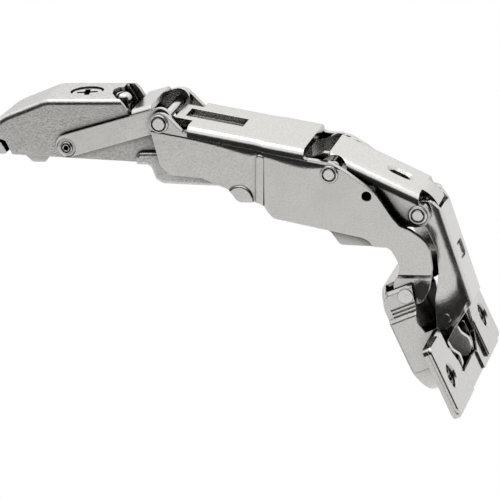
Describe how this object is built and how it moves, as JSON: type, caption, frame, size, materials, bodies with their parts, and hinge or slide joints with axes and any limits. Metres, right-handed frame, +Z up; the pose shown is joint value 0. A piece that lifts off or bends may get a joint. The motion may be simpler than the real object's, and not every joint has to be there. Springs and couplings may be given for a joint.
{
  "type": "wide-angle concealed cup hinge",
  "caption": "Clip-on concealed cabinet hinge with a folding channel linkage, a winged 35 mm door cup and a sloped clip arm, standing fully open.",
  "frame": {"origin": "on the middle plane under the arm's rear pivot, at the arm's seat on the mounting plate", "axes": "+X forward along the arm towards the door, +Y across along the pivot pins, +Z up away from the mounting plate"},
  "size_m": [0.1227, 0.0586, 0.0768],
  "materials": {
    "plated_steel": "satin nickel plate",
    "plated_pins": "bright nickel plate",
    "spring_steel": "oiled spring steel"
  },
  "bodies": {
    "arm": {"arm_channel": "plated_steel", "clip_rail": "plated_steel", "screw_block": "plated_steel", "rear_rivet": "plated_pins", "front_pin": "plated_pins", "lever_pin": "plated_pins", "lever_spring": "spring_steel"},
    "lever": {"clip_lever": "plated_steel"},
    "side_screw": {"side_screw": "plated_pins"},
    "depth_cam": {"depth_cam": "plated_pins"},
    "short_link": {"short_link": "plated_steel"},
    "outer_channel": {"outer_channel": "plated_steel", "link_axle": "plated_pins", "centre_rivet": "plated_pins", "centre_sleeve_near": "plated_pins", "centre_sleeve_far": "plated_pins"},
    "inner_channel": {"inner_channel": "plated_steel", "knee_rivet": "plated_pins", "knee_sleeve_near": "plated_pins", "knee_sleeve_far": "plated_pins"},
    "cup_link": {"cup_link": "plated_steel", "link_stud_near": "plated_pins", "link_stud_far": "plated_pins"},
    "cup": {"cup_pot": "plated_steel", "wing_plate_near": "plated_steel", "wing_plate_far": "plated_steel", "cup_pin": "plated_pins", "closing_spring": "spring_steel", "bearing_plate_near": "plated_steel", "bearing_plate_far": "plated_steel"}
  },
  "joints": [
    {"name": "door_fold", "type": "hinge", "parent": "arm", "child": "short_link", "pos_m": [0, 0, 0.0046], "axis": [0, -1, 0], "range_deg": [0, 112]},
    {"name": "outer_turn", "type": "hinge", "parent": "short_link", "child": "outer_channel", "pos_m": [0.0251, 0, 0.0115], "axis": [0, -1, 0], "range_deg": [-98.9, 0]},
    {"name": "cup_turn", "type": "hinge", "parent": "outer_channel", "child": "cup", "pos_m": [0.08479, 0, -0.03254], "axis": [0, -1, 0], "range_deg": [0, 144.9]},
    {"name": "inner_turn", "type": "hinge", "parent": "arm", "child": "inner_channel", "pos_m": [0.0408, 0, -0.002], "axis": [0, -1, 0], "range_deg": [0, 118.4]},
    {"name": "cup_link_turn", "type": "hinge", "parent": "inner_channel", "child": "cup_link", "pos_m": [0.0884, 0, -0.0125], "axis": [0, -1, 0], "range_deg": [-91.5, 0]},
    {"name": "lever_press", "type": "hinge", "parent": "arm", "child": "lever", "pos_m": [-0.0146, 0, 0.0072], "axis": [0, -1, 0], "range_deg": [0, 8], "stiffness_Nm_per_rad": 0.4, "springref_deg": -8.59},
    {"name": "side_screw_turn", "type": "hinge", "parent": "arm", "child": "side_screw", "pos_m": [0.0036, 0, 0], "axis": [0, 0, 1], "range_deg": [-180, 180]},
    {"name": "depth_cam_turn", "type": "hinge", "parent": "arm", "child": "depth_cam", "pos_m": [0.0128, 0, 0], "axis": [0, 0, 1], "range_deg": [-90, 90]}
  ],
  "couplings": [
    {"joint": "outer_turn", "follows": "door_fold", "ratio": -0.882},
    {"joint": "cup_turn", "follows": "door_fold", "ratio": 1.293},
    {"joint": "inner_turn", "follows": "door_fold", "ratio": 1.056},
    {"joint": "cup_link_turn", "follows": "door_fold", "ratio": -0.816}
  ]
}
